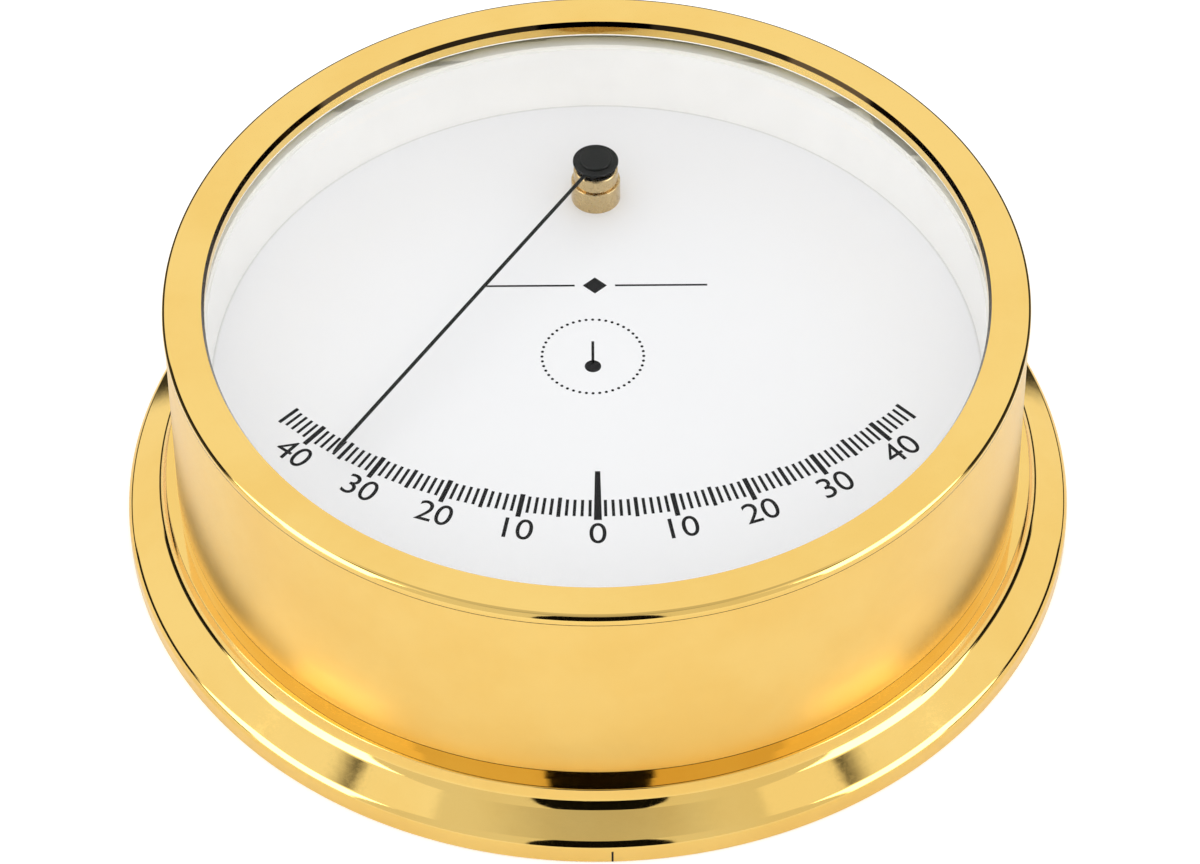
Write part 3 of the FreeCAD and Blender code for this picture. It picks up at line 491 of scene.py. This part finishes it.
def clear_glass(name, edge_radius):
    """Flat pane: clear over its faces, with a dull ground edge painted dark olive as painted shade
    with a brass tint. It mirrors more at a low angle.
    """
    material, build = new_material(name)
    place, radius, _ = turned_coordinates(build)
    through = build.node("ShaderNodeBsdfTransparent", {"Color": PANE_TINT})
    mirror = build.node("ShaderNodeBsdfGlossy", {"Color": WHITE, "Roughness": 0.01})
    slant = build.node("ShaderNodeLayerWeight", {"Blend": 0.5}).outputs["Facing"]
    grazing = build.math("MULTIPLY", build.math("POWER", slant, 5.0), 1.0 - PANE_REFLECTION)
    share = build.math("ADD", grazing, PANE_REFLECTION)
    pane = build.mix_shader(share, through.outputs[0], mirror.outputs[0])
    grain = build.noise(place, 3.0, detail=3.0)
    # Painted shade: the ground edge gets a dark olive colour with a brass tint.
    edge_shade_tint = build.mix_colour(grain, *PANE_EDGE_SHADE_TINTS)
    edge = build.node("ShaderNodeBsdfPrincipled", {"Base Color": edge_shade_tint, "Roughness": 0.5})
    at_edge = build.math("GREATER_THAN", radius, edge_radius)
    finish_material(build, build.mix_shader(at_edge, pane, edge.outputs[0]))
    return material


def plain_surface(name, colour, roughness, variation=0.06, grain=1.2, bump=0.05, metallic=0.0,
                  specular=0.5):
    """Paint, plastic, rubber or steel with a fine grain and a slight change of tone."""
    material, build = new_material(name)
    place = build.place()
    fine = build.noise(place, grain * 6.0, detail=3.0, roughness=0.6)
    soft = build.noise(place, grain * 0.12, detail=3.0)
    darker = tuple(channel * (1.0 - variation) for channel in colour[:3]) + (1.0,)
    tint = build.mix_colour(build.smooth(soft, 0.3, 0.7), colour, darker)
    gloss = build.smooth(fine, 0.2, 0.8, roughness * 0.85, roughness * 1.15)
    shader = build.node(
        "ShaderNodeBsdfPrincipled",
        {"Base Color": tint, "Roughness": gloss, "Metallic": metallic,
         "Specular IOR Level": specular, "Normal": build.relief(fine, bump, GRAIN_DEPTH)})
    finish_material(build, shader.outputs[0])
    return material


def pale_gasket(name, inner, outer):
    """Pale gasket with painted shade: olive towards its outer side under the bezel's lip, paler
    towards its inner edge.
    """
    material, build = new_material(name)
    place, radius, _ = turned_coordinates(build)
    fine = build.noise(place, 3.0, detail=3.0)
    # Painted shade: the gasket turns olive outwards, under the bezel's lip.
    tint = build.mix_colour(build.smooth(radius, inner, outer), GASKET_INNER, GASKET_SHADE)
    gloss = build.smooth(fine, 0.2, 0.8, 0.35, 0.5)
    shader = build.node("ShaderNodeBsdfPrincipled", {"Base Color": tint, "Roughness": gloss})
    finish_material(build, shader.outputs[0])
    return material


def dial_paint(name):
    """White dial: satin paint, with painted shade in a thin band at its outer edge, at the foot of
    the white ring.
    """
    material, build = new_material(name)
    place, radius, _ = turned_coordinates(build)
    fine = build.noise(place, 8.0, detail=3.0, roughness=0.6)
    cloud = build.noise(place, 0.03, detail=2.0)
    base = build.mix_colour(cloud, *DIAL_TINTS)
    # Painted shade in a thin band at the dial's outer edge.
    tint = build.mix_colour(build.smooth(radius, *DIAL_SHADE_RADII), base, DIAL_EDGE_SHADE)
    shader = build.node(
        "ShaderNodeBsdfPrincipled",
        {"Base Color": tint, "Roughness": 0.42, "Normal": build.relief(fine, 0.04, PAINT_DEPTH)})
    finish_material(build, shader.outputs[0])
    return material


def dress_nodes():
    """Give every CAD node its material, and add the smooth turned pieces."""
    # Painted reflection: a thin ring of the drum wall at DRUM_FOOT is painted dark, where the
    # flange's mirror image in the polished drum ends.
    drum_reflection_edge = (DRUM_RADIUS - 0.2, DRUM_RADIUS + 0.2, DRUM_FOOT - 0.06, DRUM_FOOT + 0.06)
    case_brass = polished_brass(
        "brass_turned", painted_dark_bands=(drum_reflection_edge,), satin=(DRUM_RADIUS - 0.2, DRUM_FOOT))
    # Painted shade: a band over the joint of the drum and the bezel is painted dark, as the shade
    # in the hairline gap between them.
    joint_shade = (DRUM_RADIUS - 1.0, BEZEL_RADIUS + 1.0, DRUM_TOP - 0.1, DRUM_TOP + 0.1)
    # A band over the bezel's inner bevel is painted dark all round.
    bevel_dark_band = (FACE_RADIUS - BEVEL_WIDTH - 0.1, FACE_RADIUS,
                  BEZEL_TOP - BEVEL_HEIGHT, BEZEL_TOP + 0.1)
    bezel_brass = polished_brass("brass_bezel", painted_dark_bands=(joint_shade, bevel_dark_band))
    at_pivot = (PIVOT.x, PIVOT.y)
    post_brass = polished_brass("brass_post", POST_BRASS, at_pivot, 0.16)
    plain_brass = polished_brass("brass_plain", PLAIN_BRASS, roughness=0.22, lathe=0.25)
    clear_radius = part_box("glass_pane")[1][0] / MM - PANE_EDGE_WIDTH
    looks = {
        "brass": plain_brass,
        "glass": clear_glass("pane_glass", clear_radius),
        "rubber": plain_surface("seal_rubber", SEAL_BLACK, 0.6),
        "pale_rubber": pale_gasket("gasket_painted_shade", FACE_RADIUS, SKIRT_BORE),
        "white_plastic": plain_surface("ring_white", RING_WHITE, 0.35, 0.03),
        "dial_white": dial_paint("dial_white"),
        "bush_plastic": plain_surface("bush_plastic", BUSH_IVORY, 0.45),
        "steel": plain_surface("bright_steel", STEEL, 0.18, metallic=1.0),
        "black": plain_surface("needle_black", NEEDLE_BLACK, 0.3, 0.2, specular=0.15),
    }
    special = {"case_shell": case_brass, "bezel_ring": bezel_brass, "pivot_post": post_brass,
               "glass_seal": looks["pale_rubber"]}
    for entry in frame["record"]["subparts"]:
        look = special.get(entry["node"], looks[entry["material_slot"]])
        for slot in nodes[entry["node"]].material_slots:
            slot.material = look
    turned_piece("case_turned", case_outline(), case_brass, "case_shell")
    turned_piece("post_turned", post_outline(), post_brass, "pivot_post", at_pivot)
    turned_piece("bezel_turned", bezel_outline(), bezel_brass, "bezel_ring")


def place_on_dial(across, up, angle=0.0):
    """A place on the dial's face, turned about the dial's normal."""
    return (Matrix.Translation((across * MM, up * MM, DIAL_TOP * MM))
            @ Matrix.Rotation(angle, 4, "Z"))


def along_scale(angle):
    """The frame of a mark at that angle from zero: its own +Y points to the pivot."""
    return (Matrix.Translation((PIVOT.x * MM, PIVOT.y * MM, DIAL_TOP * MM))
            @ Matrix.Rotation(math.radians(angle), 4, "Z"))


def add_prism(mesh, corners, matrix):
    """A thin printed patch with the given corners."""
    low = [mesh.verts.new(matrix @ Vector((x * MM, y * MM, 0.0))) for x, y in corners]
    high = [mesh.verts.new(matrix @ Vector((x * MM, y * MM, PRINT_THICKNESS * MM)))
            for x, y in corners]
    mesh.faces.new(high)
    mesh.faces.new(list(reversed(low)))
    count = len(corners)
    for index in range(count):
        follower = (index + 1) % count
        mesh.faces.new((low[index], low[follower], high[follower], high[index]))


def printed(name, shapes, material):
    """One printed piece on the dial from (corners, matrix) pairs."""
    mesh = bmesh.new()
    for corners, matrix in shapes:
        add_prism(mesh, corners, matrix)
    data = bpy.data.meshes.new(name)
    mesh.to_mesh(data)
    mesh.free()
    piece = bpy.data.objects.new(name, data)
    bpy.context.collection.objects.link(piece)
    data.materials.append(material)
    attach(piece, "case")
    return piece


def rectangle(left, right, bottom, top):
    """Corners of an upright rectangle."""
    return [(left, bottom), (right, bottom), (right, top), (left, top)]


def bar(inner, outer, inner_width, outer_width):
    """Corners of a radial mark between two distances from the pivot."""
    return [(-outer_width / 2, -outer), (outer_width / 2, -outer),
            (inner_width / 2, -inner), (-inner_width / 2, -inner)]


def scale_marks(ink):
    """One mark at each degree, with longer ones at 5 and 10 and the long zero mark."""
    shapes = []
    for angle in range(-SCALE_END, SCALE_END + 1):
        if angle == 0:
            shapes.append((bar(*ZERO_MARK, *ZERO_MARK_WIDTHS), along_scale(angle)))
            continue
        mark = MINOR_MARK
        if angle % MIDDLE_STEP == 0:
            mark = MIDDLE_MARK
        if angle % MAJOR_STEP == 0:
            mark = MAJOR_MARK
        inner, outer, width = mark
        shapes.append((bar(inner, outer, width, width), along_scale(angle)))
    printed("scale_marks", shapes, ink)


def index_line(ink):
    """The short upright line in the rim wall beside the zero mark."""
    half = INDEX_LINE_WIDTH / 2
    sunk = Matrix.Translation((INDEX_LINE_OFFSET * MM, -INDEX_LINE_DISTANCE * MM, 0.0))
    upright = sunk @ Matrix.Rotation(math.pi / 2, 4, "X")
    corners = rectangle(-half, half, FLANGE_EDGE_BREAK, RIM_WALL_HEIGHT)
    printed("index_line", [(corners, upright)], ink)


def numerals(ink):
    """The numbers of the scale, with their tops towards the pivot."""
    for angle in range(-NUMERAL_END, NUMERAL_END + 1, NUMERAL_STEP):
        name = "numeral_%d" % (angle + 90)
        curve = bpy.data.curves.new(name, "FONT")
        curve.body = str(abs(angle))
        curve.align_x = "CENTER"
        curve.align_y = "CENTER"
        curve.size = NUMERAL_HEIGHT / NUMERAL_SHARE * MM
        curve.extrude = PRINT_THICKNESS / 2 * MM
        piece = bpy.data.objects.new(name, curve)
        bpy.context.collection.objects.link(piece)
        curve.materials.append(ink)
        piece.matrix_world = along_scale(angle) @ Matrix.Translation(
            (0.0, -NUMERAL_RADIUS * MM, PRINT_THICKNESS / 2 * MM))
        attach(piece, "case")


def disc(radius, sides, centre=(0.0, 0.0)):
    """Corners of a small printed dot."""
    return [(centre[0] + radius * math.cos(2 * math.pi * index / sides),
             centre[1] + radius * math.sin(2 * math.pi * index / sides)) for index in range(sides)]


def dial_ornaments(ink):
    """A plain rule with a lozenge and a ring of dots round a plumb line."""
    gap = LOZENGE_HEIGHT * LOZENGE_GAP_SHARE
    half_length, half_width = RULE_LENGTH / 2, RULE_WIDTH / 2
    side, tip = gap * LOZENGE_WIDTH_SHARE, LOZENGE_HEIGHT / 2
    at_rule = place_on_dial(*RULE_CENTRE)
    shapes = [
        (rectangle(-half_length, -gap, -half_width, half_width), at_rule),
        (rectangle(gap, half_length, -half_width, half_width), at_rule),
        ([(0.0, -tip), (side, 0.0), (0.0, tip), (-side, 0.0)], at_rule),
    ]
    printed("dial_rule", shapes, ink)
    at_ring = place_on_dial(*RING_CENTRE)
    dots = []
    for index in range(RING_DOTS):
        angle = 2 * math.pi * index / RING_DOTS
        spot = (RING_RADIUS * math.cos(angle), RING_RADIUS * math.sin(angle))
        dots.append((disc(RING_DOT_RADIUS, RING_DOT_SIDES, spot), at_ring))
    half_width = PLUMB_WIDTH / 2
    line = rectangle(-half_width, half_width, -PLUMB_LENGTH / 4, PLUMB_LENGTH / 2)
    bob = disc(PLUMB_LENGTH / 5, PLUMB_BOB_SIDES, (0.0, -PLUMB_LENGTH / 3))
    dots.extend([(line, at_ring), (bob, at_ring)])
    printed("dial_ring_mark", dots, ink)


def studio():
    """A plain white room, which lights the object.

    Brass and glass mirror another one: it has a dark card in front, bright panels at the sides with
    a dark gap above them, dark cards low behind them and a darker ceiling."""
    world = bpy.data.worlds.new("studio")
    bpy.context.scene.world = world
    world.use_nodes = True
    build = Nodes(world.node_tree)
    way = build.node("ShaderNodeTexCoord").outputs["Generated"]
    parts = build.node("ShaderNodeSeparateXYZ", {0: way})
    aside = build.math("ABSOLUTE", parts.outputs[0])
    front = build.math("MULTIPLY", parts.outputs[1], -1.0)
    azimuth = build.math("MULTIPLY", build.math("ARCTAN2", aside, front), 180 / math.pi)
    height = build.math("MULTIPLY", build.math("ARCSINE", parts.outputs[2]), 180 / math.pi)

    def region(azimuths, heights, blur, strength):
        inside = build.math("MULTIPLY", within(build, azimuth, *azimuths, blur),
                            within(build, height, *heights, blur))
        return build.math("MULTIPLY", inside, strength)

    level = build.smooth(azimuth, *FRONT_FADE, FRONT_LEVEL, 1.0)
    ceiling = build.smooth(height, *CEILING_FADE, 1.0, CEILING_LEVEL)
    level = build.math("MULTIPLY", level, ceiling)
    level = build.math("ADD", level, region(*SIDE_PANEL))
    for card in DARK_CARDS:
        kept = build.math("SUBTRACT", 1.0, region(*card))
        level = build.math("MULTIPLY", level, kept)
    mirrored = build.node("ShaderNodeBackground", {"Color": WHITE, "Strength": level})
    plain = build.node("ShaderNodeBackground", {"Color": WHITE, "Strength": PLAIN_LEVEL})
    glossy = build.node("ShaderNodeLightPath").outputs["Is Glossy Ray"]
    shader = build.mix_shader(glossy, plain.outputs[0], mirrored.outputs[0])
    build.node("ShaderNodeOutputWorld", {"Surface": shader})


def front_lamp():
    """A wide soft lamp in front of the object, farther off than the camera and a little lower in
    direction. Brass and glass don't mirror it."""
    data = bpy.data.lights.new("front_lamp", "AREA")
    data.shape = "DISK"
    data.size = LAMP_SIZE
    data.energy = LAMP_POWER
    lamp = bpy.data.objects.new("front_lamp", data)
    bpy.context.collection.objects.link(lamp)
    place = Vector(LAMP_PLACE)
    lamp.location = place
    lamp.rotation_euler = place.to_track_quat("Z", "Y").to_euler()
    lamp.visible_glossy = False


def floor():
    """A wide pale floor that keeps the object's shadow.

    The camera sees it whiter than it is, and brass and glass mirror it dark behind the object."""
    bpy.ops.mesh.primitive_plane_add(size=FLOOR_SIZE, location=(0.0, 0.0, -FLOOR_DROP))
    plane = bpy.context.object
    plane.name = "floor"
    material, build = new_material("floor_white")
    surface = build.node("ShaderNodeBsdfDiffuse", {"Color": FLOOR_PAINT}).outputs[0]
    glowing = build.add_shader(surface, build.glow(FLOOR_GLOW))
    whiter = build.add_shader(glowing, build.glow(FLOOR_CAMERA_GLOW))
    place = build.node("ShaderNodeTexCoord").outputs["Object"]
    distance = build.node("ShaderNodeVectorMath", {0: place}, operation="LENGTH").outputs["Value"]
    behind = build.node("ShaderNodeSeparateXYZ", {0: place}).outputs[1]
    far_back = build.math("MULTIPLY", build.smooth(distance, *SHADE_DISTANCE),
                          build.smooth(behind, *SHADE_DEPTH))
    path = build.node("ShaderNodeLightPath")
    mirrored = build.mix_shader(path.outputs["Is Glossy Ray"], surface, glowing)
    seen = build.mix_shader(path.outputs["Is Camera Ray"], mirrored, whiter)
    in_shade = build.math("MULTIPLY", far_back, path.outputs["Is Glossy Ray"])
    finish_material(build, build.mix_shader(in_shade, seen, build.glow(FLOOR_SHADE)))
    plane.data.materials.append(material)


def camera():
    """The photograph's camera."""
    fall = math.radians(CAMERA_FALL)
    roll = math.radians(CAMERA_ROLL)
    forward = Vector((0.0, math.cos(fall), -math.sin(fall)))
    right = Vector((1.0, 0.0, 0.0))
    down = forward.cross(right)
    tilted_right = right * math.cos(roll) - down * math.sin(roll)
    tilted_down = right * math.sin(roll) + down * math.cos(roll)
    data = bpy.data.cameras.new("camera")
    data.lens = CAMERA_LENS
    data.sensor_width = SENSOR_WIDTH
    data.clip_start = 0.01
    item = bpy.data.objects.new("camera", data)
    bpy.context.collection.objects.link(item)
    turn = Matrix((tilted_right, -tilted_down, -forward)).transposed().to_4x4()
    item.matrix_world = Matrix.Translation(Vector(CAMERA_PLACE) * MM) @ turn
    bpy.context.scene.camera = item


dress_nodes()
ink = plain_surface("dial_ink", INK, 0.5, 0.15, specular=0.1)
scale_marks(ink)
index_line(ink)
numerals(ink)
dial_ornaments(ink)
studio()
front_lamp()
floor()
camera()
bpy.context.scene.view_settings.view_transform = "Standard"
